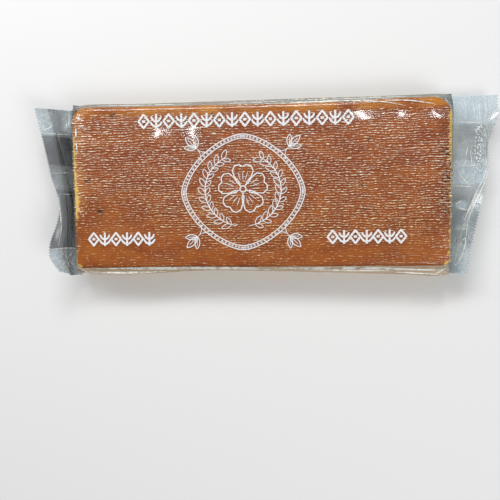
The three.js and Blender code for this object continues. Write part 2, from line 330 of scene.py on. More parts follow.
def ring_columns():
    """For each column round the film: which sheet it is in, its place across, and its layer."""
    top = np.arange(TOP_COLUMNS + 1) / TOP_COLUMNS
    under = 1 - np.arange(UNDER_COLUMNS + 1) / UNDER_COLUMNS
    inward = np.arange(1, TUCK_COLUMNS + 1) / TUCK_COLUMNS
    outward = 1 - np.arange(1, TUCK_COLUMNS) / TUCK_COLUMNS
    sheets = [
        ("top", top, top),
        ("back_upper", 1 - inward * TUCK_SHARE, inward),
        ("back_lower", 1 - outward * TUCK_SHARE, outward),
        ("under", under, under),
        ("front_lower", inward * TUCK_SHARE, inward),
        ("front_upper", outward * TUCK_SHARE, outward),
    ]
    sheet = np.concatenate([[name] * len(place) for name, place, _ in sheets])
    place = np.concatenate([place for _, place, _ in sheets])
    folded = np.concatenate([share for _, _, share in sheets])
    return sheet, place, folded


SHEET, PLACE, FOLDED = ring_columns()
OUTER = np.isin(SHEET, ["top", "under"])


def tucked(place):
    """1 where a side is tucked between the two sheets of a fin, and 0 between the tucks."""
    edge = np.minimum(place, 1 - place)
    return 1 - smooth(TUCK_SHARE - 0.006, TUCK_SHARE + 0.012, edge)


def layer_offsets():
    """How far above the fin's middle each column lies, in gaps between sheets."""
    outer = 0.5 + tucked(PLACE)
    inner = 0.5 * (1 - FOLDED ** 6)
    offset = np.where(SHEET == "top", outer, 0.0)
    offset = np.where(SHEET == "under", -outer, offset)
    upper = np.isin(SHEET, ["back_upper", "front_upper"])
    lower = np.isin(SHEET, ["back_lower", "front_lower"])
    offset = np.where(upper, lerp(outer, inner, smooth(0, 0.12, FOLDED)), offset)
    return np.where(lower, -lerp(outer, inner, smooth(0, 0.12, FOLDED)), offset)


LAYER = layer_offsets()


def fin_rows(fin):
    """Distance along the fin and pleat level of each row and column of a fin, from the
    slab outwards. The sheet goes out, doubles back over itself in the pleat, and goes on."""
    overlap = pleat_overlap(fin, PLACE)
    pleat = profile(fin["pleat"], PLACE)
    cut = fin_reach(fin, PLACE)
    formed = smooth(0.1, 1.2, overlap)
    loose = np.linspace(-0.6, 0.6, 2)
    first_end = lerp(pleat + loose[0], pleat + overlap, formed)
    third_start = lerp(pleat + loose[1], pleat, formed)
    rows = []
    for row in range(1, INNER_ROWS + 1):
        rows.append((lerp(WEDGE, first_end, row / INNER_ROWS), 0.0 * PLACE))
    rows.append((first_end + FOLD_SOFTNESS, 0.5 * formed))
    for row in range(BACK_ROWS + 1):
        rows.append((lerp(first_end, third_start, row / BACK_ROWS), 1.0 * formed))
    rows.append((third_start - FOLD_SOFTNESS * formed, 1.5 * formed))
    root = cut - TOOTH_DEPTH
    for row in range(OUTER_ROWS + 1):
        rows.append((lerp(third_start + 0.05, root, row / OUTER_ROWS), 2.0 * formed))
    rows.append((root + 0.12 + TOOTH_DEPTH * tooth(PLACE), 2.0 * formed))
    distance = np.array([row[0] for row in rows])
    level = np.array([row[1] for row in rows])
    return distance, level


def sheet_offset(fin, place, distance, layer, outer):
    """How far a sheet lies above the fin's middle, with its puff and its wrinkles."""
    reach = fin_reach(fin, place)
    loose = smooth(reach - 9, reach - 13, distance) * smooth(WEDGE, WEDGE + 2, distance)
    y = lerp(fin["front"], fin["back"], place)
    crumple = np.where(layer > 0, FIN_CRUMPLE(distance, y), -FIN_CRUMPLE_UNDER(distance, y))
    puff = np.where(outer, FIN_PUFF * (1 + 0.6 * crumple), 0.0) * np.sign(layer)
    return layer * FILM_GAP + loose * (puff + FIN_CRUMPLE_DEPTH * FIN_CRUMPLE(distance, y))


def fin_offsets(fin, distance, level):
    """The height of every point above the fin's middle: its sheet and its pleat."""
    return sheet_offset(fin, PLACE, distance, LAYER, OUTER) + level * PLEAT_LIFT


def body_rows():
    """Where the rings of the slab stand, closer together towards its two ends."""
    share = np.arange(BODY_ROWS + 1) / BODY_ROWS
    crowded = share - END_CROWDING * np.sin(2 * math.pi * share) / (2 * math.pi)
    return lerp(SLAB_LEFT, SLAB_RIGHT, crowded)


def side_path(way, slab_side, lip_y, lip_z, upper):
    """Across one side of the film, from its fold at the lip or skirt in to the crease."""
    crease = (slab_side + way * CREASE_GAP, SIDE_CREASE_HEIGHT)
    if upper:
        middle = (slab_side + way * SIDE_GAP, UNDER_LIP_HEIGHT)
        outer = (lip_y, lip_z)
    else:
        middle = (slab_side + way * SIDE_GAP, LOW_SIDE_HEIGHT)
        outer = (slab_side + way * SKIRT_PROUD, SKIRT_HEIGHT)
    return outer, middle, crease


def along_side(path, share):
    """A point at a share of the way along the three points of a side path."""
    outer, middle, crease = path
    bend = 0.3
    first = np.clip(share / bend, 0, 1)
    second = np.clip((share - bend) / (1 - bend), 0, 1)
    y = lerp(lerp(outer[0], middle[0], first), crease[0], second)
    z = lerp(lerp(outer[1], middle[1], first), crease[1], second)
    return y, z


def body_ring(x):
    """The closed ring of film round the slab at one place along it."""
    front, back = profile(LIP_FRONT, x), profile(LIP_BACK, x)
    slab_back = profile(SLAB_BACK, x)
    crowded = PLACE - EDGE_CROWDING * np.sin(2 * math.pi * PLACE) / (2 * math.pi)
    top_y = lerp(front, back, crowded)
    y = np.zeros(PLACE.shape)
    z = np.zeros(PLACE.shape)
    at = SHEET == "top"
    y[at] = top_y[at]
    z[at] = film_height(x, y[at])
    at = SHEET == "under"
    y[at] = lerp(SLAB_FRONT - SKIRT_PROUD, slab_back + SKIRT_PROUD, PLACE[at])
    rim = np.minimum(PLACE[at], 1 - PLACE[at])
    z[at] = UNDER_HEIGHT + (SKIRT_HEIGHT - UNDER_HEIGHT) * (1 - smooth(0, 0.03, rim))
    ripple = 0.12 * SIDE_RIPPLE(x, FOLDED * 6)
    for way, slab_side, lip_y, name in ((1, slab_back, back, "back"), (-1, SLAB_FRONT, front, "front")):
        for upper in (True, False):
            at = SHEET == name + ("_upper" if upper else "_lower")
            lip_z = film_height(x, lip_y)
            path = side_path(way, slab_side, lip_y, lip_z, upper)
            y[at], z[at] = along_side(path, FOLDED[at])
            y[at] += way * ripple[at] * np.sin(math.pi * FOLDED[at])
    return np.stack([x * (1 + SLAB_SPREAD * y), y, z], axis=-1)


def film_fin(fin):
    """The rows of points of a fin beyond its wedge, and their distances from the slab."""
    distance, level = fin_rows(fin)
    offset = fin_offsets(fin, distance, level)
    place = np.broadcast_to(PLACE, distance.shape)
    return fin_points(fin, place, distance, offset), distance


def film_points():
    """All rows of the film, from the left cut edge to the right one, and for each fin the
    distance of its points from the slab."""
    body = np.array([body_ring(x) for x in body_rows()])
    parts = []
    distances = []
    for fin, end in ((LEFT_FIN, body[0]), (RIGHT_FIN, body[-1])):
        points, distance = film_fin(fin)
        start = fin_points(fin, PLACE, np.full(PLACE.shape, WEDGE), LAYER * FILM_GAP)
        shares = np.arange(1, WEDGE_ROWS + 1) / WEDGE_ROWS
        wedge = np.array([lerp(end, start, share) for share in shares])
        parts.append(np.concatenate([wedge, points]))
        wedge_distance = np.broadcast_to(WEDGE * shares[:, None], (WEDGE_ROWS, len(PLACE)))
        distances.append(np.concatenate([wedge_distance, distance]))
    left, right = parts
    return np.concatenate([left[::-1], body, right]), distances


def grid_faces(rows, columns, closed):
    """Four-sided faces of a grid of points, joined round each row where closed."""
    row = np.arange(rows - 1)[:, None]
    column = np.arange(columns if closed else columns - 1)[None, :]
    after = (column + 1) % columns
    corners = [row * columns + column, (row + 1) * columns + column,
               (row + 1) * columns + after, row * columns + after]
    return np.stack([np.broadcast_to(c, (rows - 1, column.size)) for c in corners], -1).reshape(-1, 4)


def add_piece(name, points, faces, material, sharp_degrees=55):
    """Makes a mesh piece that rides on the one body: smooth-shaded up to an angle, or flat."""
    mesh = bpy.data.meshes.new(name)
    mesh.from_pydata((np.asarray(points).reshape(-1, 3) * MM).tolist(), [], np.asarray(faces).tolist())
    if sharp_degrees:
        mesh.polygons.foreach_set("use_smooth", [True] * len(mesh.polygons))
        mesh.set_sharp_from_angle(angle=math.radians(sharp_degrees))
    mesh.update()
    piece = bpy.data.objects.new(name, mesh)
    bpy.context.scene.collection.objects.link(piece)
    mesh.materials.append(material)
    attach(piece, "root")
    return piece


# The share of light that the film reflects face on, and its roughness: over most of it, and at
# the highlights. Real film is alike all over. The difference is a choice for the look, which
# keeps each highlight together.
FILM_REFLECTS = 0.04
GLINT_REFLECTS = 0.15
FILM_ROUGH = 0.17
GLINT_ROUGH = 0.05


class Nodes:
    """A short way to write a material's nodes."""

    def __init__(self, name):
        self.material = bpy.data.materials.new(name)
        self.material.use_nodes = True
        self.tree = self.material.node_tree
        self.tree.nodes.clear()
        self.output = self.tree.nodes.new("ShaderNodeOutputMaterial")

    def node(self, kind, *links, **values):
        """Adds a node. A value that is a socket is linked, and any other is set."""
        node = self.tree.nodes.new("ShaderNode" + kind)
        for key, value in values.items():
            if hasattr(node, key):
                setattr(node, key, value)
                continue
            name = key.replace("_", " ")
            found = [s for s in node.inputs if s.enabled and s.name.lower() == name.lower()]
            self.put(found[0], value)
        for socket, value in zip([s for s in node.inputs if s.enabled], links):
            self.put(socket, value)
        return node

    def put(self, socket, value):
        if isinstance(value, bpy.types.NodeSocket):
            self.tree.links.new(value, socket)
        elif isinstance(value, (tuple, list)) and len(value) == 3 and socket.type == "RGBA":
            socket.default_value = (*value, 1)
        else:
            socket.default_value = value

    def place(self):
        """The piece's own coordinates, in metres, which are the part's coordinates."""
        return self.node("TexCoord").outputs["Object"]

    def stretched(self, x, y, z):
        """Coordinates scaled so that one unit is x, y and z millimetres."""
        mapping = self.node("Mapping")
        self.put(mapping.inputs["Vector"], self.place())
        mapping.inputs["Scale"].default_value = (1 / (x * MM), 1 / (y * MM), 1 / (z * MM))
        return mapping.outputs["Vector"]

    def noise(self, where, detail=2.0, roughness=0.5):
        node = self.node("TexNoise", detail=detail, roughness=roughness)
        self.put(node.inputs["Vector"], where)
        node.inputs["Scale"].default_value = 1.0
        return node.outputs["Fac"]

    def step(self, value, low, high, to_low=0.0, to_high=1.0):
        """An eased step from to_low to to_high as the value goes from low to high."""
        node = self.node("MapRange", interpolation_type="SMOOTHSTEP")
        self.put(node.inputs["Value"], value)
        node.inputs["From Min"].default_value = low
        node.inputs["From Max"].default_value = high
        node.inputs["To Min"].default_value = to_low
        node.inputs["To Max"].default_value = to_high
        return node.outputs["Result"]

    def math(self, operation, first, second=0.0, clamp=False):
        node = self.node("Math", operation=operation, use_clamp=clamp)
        self.put(node.inputs[0], first)
        self.put(node.inputs[1], second)
        return node.outputs[0]

    def times(self, first, second):
        return self.math("MULTIPLY", first, second)

    def plus(self, first, second, clamp=False):
        return self.math("ADD", first, second, clamp)

    def attribute(self, name):
        return self.node("Attribute", attribute_name=name).outputs["Fac"]

    def blend(self, share, first, second):
        """A color part of the way from the first to the second."""
        node = self.tree.nodes.new("ShaderNodeMix")
        node.data_type = "RGBA"
        color_inputs = [s for s in node.inputs if s.type == "RGBA"]
        self.put(node.inputs[0], share)
        self.put(color_inputs[0], first)
        self.put(color_inputs[1], second)
        return [s for s in node.outputs if s.type == "RGBA"][0]

    def mix(self, share, first, second):
        """A shader part of the way from the first to the second."""
        node = self.tree.nodes.new("ShaderNodeMixShader")
        self.put(node.inputs[0], share)
        self.tree.links.new(first, node.inputs[1])
        self.tree.links.new(second, node.inputs[2])
        return node.outputs[0]

    def bump(self, height, depth):
        """A normal for relief of this depth in millimetres."""
        node = self.node("Bump")
        node.inputs["Strength"].default_value = 1.0
        node.inputs["Distance"].default_value = depth * MM
        self.put(node.inputs["Height"], height)
        return node.outputs["Normal"]

    def sheen(self, normal=None, face_on=FILM_REFLECTS):
        """The share of light that a thin film reflects: face_on, and more at a slant."""
        weight = self.node("LayerWeight", Blend=0.5)
        if normal:
            self.put(weight.inputs["Normal"], normal)
        slant = self.math("POWER", weight.outputs["Facing"], 5.0)
        return self.plus(self.times(slant, 1 - FILM_REFLECTS), face_on)

    def finish(self, shader):
        self.tree.links.new(shader, self.output.inputs["Surface"])
        return self.material


def milky_film(n, tint, white, milkiness, roughness):
    """Finishes a material of clear film of this tint, turned white by a share."""
    clear = n.node("BsdfTransparent", tint).outputs[0]
    milk = n.node("BsdfDiffuse", white).outputs[0]
    gloss = n.node("BsdfGlossy", Roughness=roughness).outputs[0]
    return n.finish(n.mix(n.sheen(), n.mix(milkiness, clear, milk), gloss))


def film_ridges(n):
    """A wavy pattern of lines along the slab, from -1 between them to 1 on them."""
    y = n.node("SeparateXYZ", n.place()).outputs["Y"]
    across = n.times(y, 2 * math.pi / (RIDGE_PITCH * MM))
    broad = n.noise(n.stretched(9, 5, 9), detail=2)
    near = n.noise(n.stretched(2.6, 1.6, 9), detail=1)
    sway = n.plus(n.times(broad, 13.0), n.times(near, 5.0))
    return n.math("SINE", n.plus(across, sway))


def film_material():
    """Clear glossy film. Over the slab it is white in fine streaks and marks: in part the milk of film
    that stands off the slab, in part painted highlights and painted sheen of the lights above.
    It is milky where it is folded, tucked or sealed, crackled where it was crushed, with painted sparkle
    there, and tinted in the fins with painted shade: the grey of the table and of its shadow that the
    photograph shows through them."""
    n = Nodes("clear_film")
    fin = n.attribute("fin")
    over_slab = n.math("SUBTRACT", 1.0, fin)
    ridge = film_ridges(n)
    broken = n.noise(n.stretched(1.5, 0.7, 3), detail=2)
    short = n.noise(n.stretched(1.0, 0.4, 2), detail=1)
    sparse = n.noise(n.stretched(1.7, 1.0, 2), detail=0)
    # The white streaks and marks over the slab: painted highlights and painted sheen on the film's ridges,
    # in part also the milk of film that stands off the slab.
    streak = n.times(n.step(ridge, 0.0, 0.8), n.step(broken, 0.42, 0.6, 0.04, 0.33))
    streak = n.times(streak, n.attribute("lifted_and_sheen"))
    glint_dash = n.times(n.step(ridge, 0.35, 0.8), n.step(short, 0.55, 0.63, 0.0, 0.6))
    glint_dash = n.times(glint_dash, n.step(n.attribute("lifted_and_sheen"), 0.0, 1.1, 0.2, 0.9))
    # Single white marks: painted highlights.
    single = n.times(n.step(ridge, 0.3, 0.8), n.step(sparse, 0.59, 0.67, 0.0, 0.62))
    single = n.times(single, n.attribute("face"))
    single = n.times(single, n.step(n.attribute("lifted_and_sheen"), 0.0, 0.9, 0.5, 1.0))
    streaks_and_glints = n.plus(n.plus(streak, glint_dash), single)
    fine = n.noise(n.stretched(3.0, 0.55, 4), detail=2)
    crackle = n.noise(n.stretched(1.3, 1.9, 3), detail=3)
    cloudy = n.times(n.attribute("cloud"), n.step(crackle, 0.3, 0.75, 0.8, 1.25))
    crushed = n.noise(n.stretched(0.6, 0.9, 1), detail=2)
    # Painted sparkle: white specks standing for glints on the crushed film.
    painted_sparkle = n.times(n.step(crushed, 0.53, 0.59, 0.0, 0.85), n.attribute("crushed"))
    # How white the film is: its own milk, with the painted highlights, sheen and sparkle.
    milk_and_glint_share = n.plus(n.times(streaks_and_glints, over_slab), cloudy)
    milk_and_glint_share = n.plus(milk_and_glint_share, painted_sparkle, clamp=True)
    relief = n.plus(fine, n.times(crackle, n.attribute("crumpled")))
    normal = n.bump(n.times(relief, n.attribute("rippled")), 0.05)
    place = n.node("SeparateXYZ", n.place())
    right = n.step(place.outputs["X"], -0.01, 0.01)
    front = n.times(n.step(place.outputs["Y"], -0.036, -0.038), over_slab)
    # The grey tint is painted shade, the dark of what lies behind the film: the grey of the table and its
    # shadow, neutral in the left fin and bluer in the right, warm brown-grey at the front lip, and browner
    # at crushed spots.
    grey = n.blend(right, (0.39, 0.39, 0.40), (0.36, 0.415, 0.44))
    grey = n.blend(front, grey, (0.54, 0.41, 0.29))
    grey = n.blend(n.times(n.attribute("crushed"), 0.7), grey, (0.47, 0.36, 0.29))
    tint = n.blend(n.attribute("shade"), (0.97, 0.97, 0.97), grey)
    clear = n.node("BsdfTransparent", tint).outputs[0]
    # The white of the milk and of the painted highlights and sheen: warmer at the front, paler at the
    # back.
    back = n.step(place.outputs["Y"], -0.036, 0.03)
    white = n.blend(back, (0.92, 0.70, 0.40), (0.94, 0.82, 0.66))
    milk = n.node("BsdfDiffuse", n.blend(fin, white, (0.72, 0.84, 0.90))).outputs[0]
    rough = n.step(n.attribute("rippled"), 0.1, 1.0, GLINT_ROUGH, FILM_ROUGH)
    gloss = n.node("BsdfGlossy", Roughness=rough, Normal=normal)
    gloss.inputs["Color"].default_value = (1, 1, 1, 1)
    face_on = n.step(n.attribute("rippled"), 0.05, 0.3, GLINT_REFLECTS, FILM_REFLECTS)
    return n.finish(n.mix(n.sheen(normal, face_on), n.mix(milk_and_glint_share, clear, milk), gloss.outputs[0]))


def set_attribute(piece, name, values):
    layer = piece.data.attributes.new(name, "FLOAT", "POINT")
    layer.data.foreach_set("value", np.asarray(values, dtype=np.float32).ravel())


# Broad patches of the painted sheen and milk over the slab.
LIFT_AND_SHEEN_PATCHES = Waves(21, along=(30, 120), across=(14, 60), count=16)
FIN_SHADES = Waves(22, along=(6, 20), across=(8, 40), count=16)


def lifted_and_sheen(points):
    """How white the film is made over the slab at each point, from 0 to about 1 and up to 2 along the
    slab's back edge: in part the milk of film that stands off the slab, in part painted sheen where the
    lights above would reflect, and a painted highlight along the back edge."""
    x, y = points[..., 0], points[..., 1]
    # Painted sheen: less over the front and the front left corner, more over the upper left.
    less_haze_corner = smooth(30, 8, np.hypot(x + 76, 1.2 * (y + 26)))
    less_haze_front = 0.75 * smooth(-20, -34, y)
    upper_left_sheen = 0.3 * smooth(34, 5, np.hypot(x + 62, y - 22))
    smooth_back = smooth(35, 37.5, y)
    spread = 0.85 + 0.2 * LIFT_AND_SHEEN_PATCHES(x, y) + upper_left_sheen
    loose = np.clip(spread - 0.75 * less_haze_corner - less_haze_front, 0.05, 1.3) * (1 - 0.8 * smooth_back)
    # A painted highlight along the slab's back edge.
    back_edge_highlight = smooth(-2.6, -1.8, y - profile(SLAB_BACK, x)) * smooth(-30, 10, x) * smooth(72, 60, x)
    return loose + 1.1 * back_edge_highlight


def on_face(points):
    """1 over the slab's level face, and 0 on the film's lips, sides and underside."""
    x, y = points[..., 0], points[..., 1]
    inside = smooth(SLAB_FRONT, SLAB_FRONT + 0.8, y) * smooth(0, -0.8, y - profile(SLAB_BACK, x))
    return inside * (SHEET == "top")


def beyond_slab(points):
    return smooth(0.5, -0.5, from_end(points[..., 0]))


def film_fields(distance, fin):
    """Shade, cloud, crumple and crushing of one fin, from the lie of its layers. The shade is painted
    shade, the dark of the table and its shadow seen through the fin, and the cloud holds painted
    highlights in spots.
    """
    y = lerp(fin["front"], fin["back"], PLACE)
    from_cut = fin_reach(fin, PLACE) - distance
    doubled = tucked(PLACE) * OUTER
    inside = ~OUTER
    sealed = smooth(0.4, 1.2, y) * smooth(12.9, 12.3, y)
    near_slab = smooth(5.5, 2.5, distance)
    uneven = FIN_SHADES(distance, y)
    overlap = pleat_overlap(fin, PLACE)
    crease = profile(fin["pleat"], PLACE)
    pleat_end = crease + overlap
    in_pleat = smooth(crease - 0.6, crease, distance) * smooth(pleat_end + 0.6, pleat_end, distance)
    in_pleat = in_pleat * smooth(0.1, 1.2, overlap)
    # Painted shade: darkest in the left fin, lighter in the right fin and where the film is doubled,
    # sealed or pleated, and darker on the right fin's low part, its flap and its crushed spots.
    if fin["side"] < 0:
        edge_strip = smooth(6.8, 5.6, from_cut) * (SHEET == "top")
        shade = 1.0 - 0.58 * doubled - 0.58 * inside - 0.22 * edge_strip - 0.38 * sealed
        cloud = 0.02 + 0.13 * doubled + 0.08 * inside + 0.06 * edge_strip + 0.05 * sealed
        cloud += doubled * 0.2 * (near_slab + edge_strip - 0.35)
    else:
        low = smooth(-2, -8, y) * smooth(crease + 1, crease, distance)
        flap = smooth(-5, -9, y) * smooth(-33, -27, y) * smooth(crease + 2, crease + 3, distance)
        shade = 0.21 - 0.18 * doubled - 0.14 * inside - 0.16 * sealed + 0.29 * low + 0.4 * flap
        cloud = 0.1 + 0.17 * doubled + 0.1 * inside + 0.05 * near_slab + 0.15 * sealed - 0.07 * low
    # Milky spots, partly painted highlights.
    cloud = cloud + np.where(SHEET == "top", spots(fin["milky"], distance, y), 0)
    crushed = np.where(SHEET == "top", spots(fin["crushed"], distance, y), 0)
    shade = np.clip(shade * (1 - 0.6 * in_pleat) + 0.45 * crushed * (fin["side"] > 0), 0, 1)
    return shade, np.clip(cloud + 0.02 * uneven, 0.01, 1), np.clip(0.8 + 0.5 * uneven, 0, 2), crushed


def spots(places, distance, y):
    """The sum of soft oval spots, each given by its middle, its two half sizes and a weight."""
    total = np.zeros(distance.shape)
    for at, at_y, half, half_y, weight in places:
        away = np.hypot((distance - at) / half, (y - at_y) / half_y)
        total += weight * smooth(1.3, 0.5, away)
    return total


# The reach of the slab's rounded back corners, past which the film is painted grey with shade
BACK_CORNER = 8.0


def slab_fields(points):
    """Shade, cloud, crumple and crushing of the film round the slab, which is grey or milky only at its
    edges, and neither crumpled nor crushed. The grey at the back lip, the front lip and the back corners
    is painted shade, the dark of what lies behind the film, and the milk at the front lip is partly a
    painted highlight."""
    y = points[..., 1]
    past_back = y - profile(SLAB_BACK, points[..., 0])
    back_lip = smooth(-0.6, 0.4, past_back)
    front_lip = smooth(SLAB_FRONT + 0.5, SLAB_FRONT - 0.4, y)
    sides = ~OUTER
    in_corner = np.hypot(np.maximum(0, BACK_CORNER - from_end(points[..., 0])),
                         np.maximum(0, BACK_CORNER + past_back)) / BACK_CORNER
    # Painted shade at the back lip, the front lip and the back corners.
    shade = np.maximum(0.75 * back_lip, 0.7 * front_lip) * (SHEET == "top")
    shade = np.maximum(shade, 0.75 * smooth(0.95, 1.1, in_corner) * (y > 0))
    cloud = (0.1 * back_lip + 0.13 * front_lip) * (SHEET == "top") + 0.05 * sides
    return shade, cloud, np.zeros(cloud.shape), np.zeros(cloud.shape)


def make_film():
    """The film sleeve, with the values at each of its points that its material reads."""
    points, distances = film_points()
    rows, columns, _ = points.shape
    fin_rows_count = len(distances[0])
    shade, cloud, crumpled, crushed = slab_fields(points)
    for fin, distance, at in ((LEFT_FIN, distances[0][::-1], slice(0, fin_rows_count)),
                              (RIGHT_FIN, distances[1], slice(rows - fin_rows_count, rows))):
        fields = film_fields(distance, fin)
        for total, part in zip((shade, cloud, crumpled, crushed), fields):
            total[at] = part
    film = add_piece("film_sleeve", points, grid_faces(rows, columns, closed=True), film_material())
    rippled = 1 - 0.985 * calm(points[..., 0], points[..., 1])
    values = {"shade": shade, "cloud": cloud, "crumpled": crumpled, "crushed": crushed,
              "lifted_and_sheen": lifted_and_sheen(points) * (SHEET == "top"), "rippled": rippled,
              "face": on_face(points), "fin": beyond_slab(points)}
    for name, value in values.items():
        set_attribute(film, name, value)
    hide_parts("sealed_pack")


# The slab of nougat: its corners seen from above, clockwise from the back left
CORNER_RADIUS = {(-1, 1): 7.5, (1, 1): 9.0, (1, -1): 3.5, (-1, -1): 3.0}
SLAB_GAP = 0.3
TOP_EDGE_ROUND = 1.0
UNDER_EDGE_ROUND = 1.2
SLAB_STEP = 0.66
SIDE_ROWS = 22
SIDE_SWAY = 0.0025
SIDE_SWAY_STRETCH = 9
SLAB_RELIEF = Waves(31, along=(4, 18), across=(3, 12))
SLAB_WOBBLE = Waves(32, along=(15, 60), across=(15, 60), count=12)
TOAST_PATCHES = Waves(33, along=(14, 70), across=(8, 40), count=18)
BURNT_SPOTS = [
    (-72.0, 36.2, 1.5), (-79.0, -10.5, 2.0), (-85.0, 4.5, 1.6), (-23.0, 35.2, 1.5),
    (-17.5, 33.4, 1.1), (-41.0, 33.8, 0.8), (5.0, -0.6, 0.8), (52.5, 23.0, 1.1),
    (48.8, 0.2, 1.3), (50.0, -11.5, 1.1), (39.5, -26.0, 1.4), (61.0, 8.0, 0.7), (-6.0, -3.0, 0.6),
]


def slab_axis(half):
    """Grid lines across the slab, from -1 to 1, closer together at its rounded edges."""
    count = int(half * 2 / SLAB_STEP)
    inner = np.linspace(-1 + 1.0 / half, 1 - 1.0 / half, count)
    edge = np.array([0.0, 0.08, 0.2, 0.36, 0.56, 0.78]) / half
    return np.concatenate([-1 + edge, inner, (1 - edge)[::-1]])


def slab_halves():
    return (SLAB_RIGHT - SLAB_LEFT) / 2 - SLAB_GAP, (SLAB_BACK[0][1] - SLAB_FRONT) / 2 - SLAB_GAP


def slab_plan(u, w):
    """Places the grid point (u, w) of the slab's plan, and gives its distance from the edge."""
    half_x, half_y = slab_halves()
    x, y = u * half_x, w * half_y
    distance = np.minimum(half_x - np.abs(x), half_y - np.abs(y))
    for (side_x, side_y), radius in CORNER_RADIUS.items():
        a = (x * side_x - (half_x - radius)) / radius
        b = (y * side_y - (half_y - radius)) / radius
        inside = (a > 0) & (b > 0)
        a, b = np.maximum(a, 1e-9), np.maximum(b, 1e-9)
        reach = np.maximum(a, b)
        scale = reach / np.hypot(a, b)
        x = np.where(inside, side_x * (half_x - radius + a * scale * radius), x)
        y = np.where(inside, side_y * (half_y - radius + b * scale * radius), y)
        distance = np.where(inside, radius * (1 - reach), distance)
    y = y + SLAB_FRONT + SLAB_GAP + half_y
    x = x + (SLAB_LEFT + SLAB_RIGHT) / 2
    wider = np.clip(y / SLAB_BACK[0][1], 0, 1) * (profile(SLAB_BACK, x) - SLAB_BACK[0][1])
    return x * (1 + SLAB_SPREAD * y), y + wider, distance


def edge_drop(radius, distance):
    """How far an edge of this radius has dropped, at a distance in from the slab's side."""
    past = np.maximum(0, radius - distance)
    return radius - np.sqrt(np.maximum(0, radius ** 2 - past ** 2))


def slab_top(x, y, distance):
    edge = edge_drop(TOP_EDGE_ROUND, distance)
    follow = film_base(x, y) - FILM_LEVEL
    return SLAB_TOP + np.maximum(follow, -1.0) * 0.6 - edge + 0.05 * SLAB_RELIEF(x, y)


def boundary_walk(columns, rows):
    """Grid positions round the edge of a grid, once, anticlockwise."""
    walk = [(i, 0) for i in range(columns - 1)]
    walk += [(columns - 1, j) for j in range(rows - 1)]
    walk += [(i, rows - 1) for i in range(columns - 1, 0, -1)]
    walk += [(0, j) for j in range(rows - 1, 0, -1)]
    return np.array(walk)


def slab_mesh():
    """Points and faces of the slab: a top, an underside, and rows of points down its side."""
    half_x, half_y = slab_halves()
    u, w = np.meshgrid(slab_axis(half_x), slab_axis(half_y), indexing="ij")
    x, y, distance = slab_plan(u, w)
    top = np.stack([x, y, slab_top(x, y, distance)], -1)
    under = np.stack([x, y, SLAB_UNDER + edge_drop(UNDER_EDGE_ROUND, distance)], -1)
    columns, rows = u.shape
    top_faces = grid_faces(columns, rows, closed=False)
    walk = boundary_walk(columns, rows)
    edge_top = walk[:, 0] * rows + walk[:, 1]
    count = columns * rows
    edge = top.reshape(-1, 3)[edge_top]
    edge_low = under.reshape(-1, 3)[edge_top]
    side = []
    for row in range(1, SIDE_ROWS):
        share = row / SIDE_ROWS
        ring = lerp(edge, edge_low, share)
        sway = SLAB_WOBBLE(ring[:, :1] + ring[:, 1:2], ring[:, 2:] * SIDE_SWAY_STRETCH)
        ring[:, :2] *= 1 + SIDE_SWAY * np.sin(math.pi * share) * sway
        side.append(ring)
    side = np.array(side)
    points = np.concatenate([top.reshape(-1, 3), under.reshape(-1, 3), side.reshape(-1, 3)])
    rings = [edge_top] + [2 * count + r * len(walk) + np.arange(len(walk)) for r in range(SIDE_ROWS - 1)]
    rings.append(edge_top + count)
    side_faces = []
    for upper, lower in zip(rings, rings[1:]):
        side_faces.append(np.stack([upper, lower, np.roll(lower, -1), np.roll(upper, -1)], -1))
    faces = [top_faces, top_faces[:, ::-1] + count] + side_faces
    return points, np.concatenate(faces)


def nougat_material():
    """A toasted crust over yellow nougat, darker where it is burnt and along its foot."""
    n = Nodes("toasted_nougat")
    where = n.place()
    height = n.node("SeparateXYZ", where).outputs["Z"]
    toast = n.attribute("toast")
    burnt = n.attribute("burnt")
    fine = n.noise(n.stretched(0.9, 0.7, 0.9), detail=4, roughness=0.6)
    broad = n.noise(n.stretched(16, 7, 9), detail=4, roughness=0.55)
    run = n.noise(n.stretched(3.5, 3.5, 14), detail=3)
    crust = n.blend(n.step(broad, 0.35, 0.68), (0.255, 0.048, 0.003), (0.355, 0.086, 0.005))
    crust = n.blend(n.attribute("golden"), crust, (0.53, 0.20, 0.018))
    crust = n.blend(n.step(fine, 0.5, 0.75, 0, 0.3), crust, (0.18, 0.032, 0.003))
    yellow = n.blend(n.step(fine, 0.3, 0.7), (0.87, 0.61, 0.15), (0.78, 0.47, 0.08))
    down = n.plus(n.times(height, 1 / MM), n.times(run, 6.0))
    from_top = n.step(down, 18.4, 21.0)
    from_under = n.step(down, 5.4, 3.2)
    side = n.blend(from_top, yellow, (0.36, 0.10, 0.01))
    side = n.blend(from_under, side, (0.16, 0.05, 0.015))
    base = n.blend(toast, side, crust)
    base = n.blend(burnt, base, (0.035, 0.012, 0.006))
    normal = n.bump(n.plus(fine, broad), 0.12)
    shader = n.node("BsdfPrincipled", Base_Color=base, Roughness=0.55, Normal=normal)
    shader.inputs["Specular IOR Level"].default_value = 0.1
    return n.finish(shader.outputs[0])


def burnt_spots(x, y):
    """Where the toasted face is burnt dark: single spots, and a crust along its right end."""
    value = np.zeros(x.shape)
    ragged = 0.35 * SLAB_RELIEF(x * 3, y * 3)
    for spot_x, spot_y, size in BURNT_SPOTS:
        away = np.hypot(x - spot_x, (y - spot_y) * 1.25) / size
        value = np.maximum(value, smooth(1.15, 0.35, away + ragged))
    along_end = smooth(83, 88, x) * smooth(91.4, 90.6, x) * smooth(-22, -12, y) * smooth(34, 22, y)
    speckle = smooth(0.0, 0.9, SLAB_RELIEF(x * 3.2, y * 3.2) + 0.3 * SLAB_WOBBLE(x * 2, y * 2))
    return np.maximum(value * 0.9, along_end * speckle)


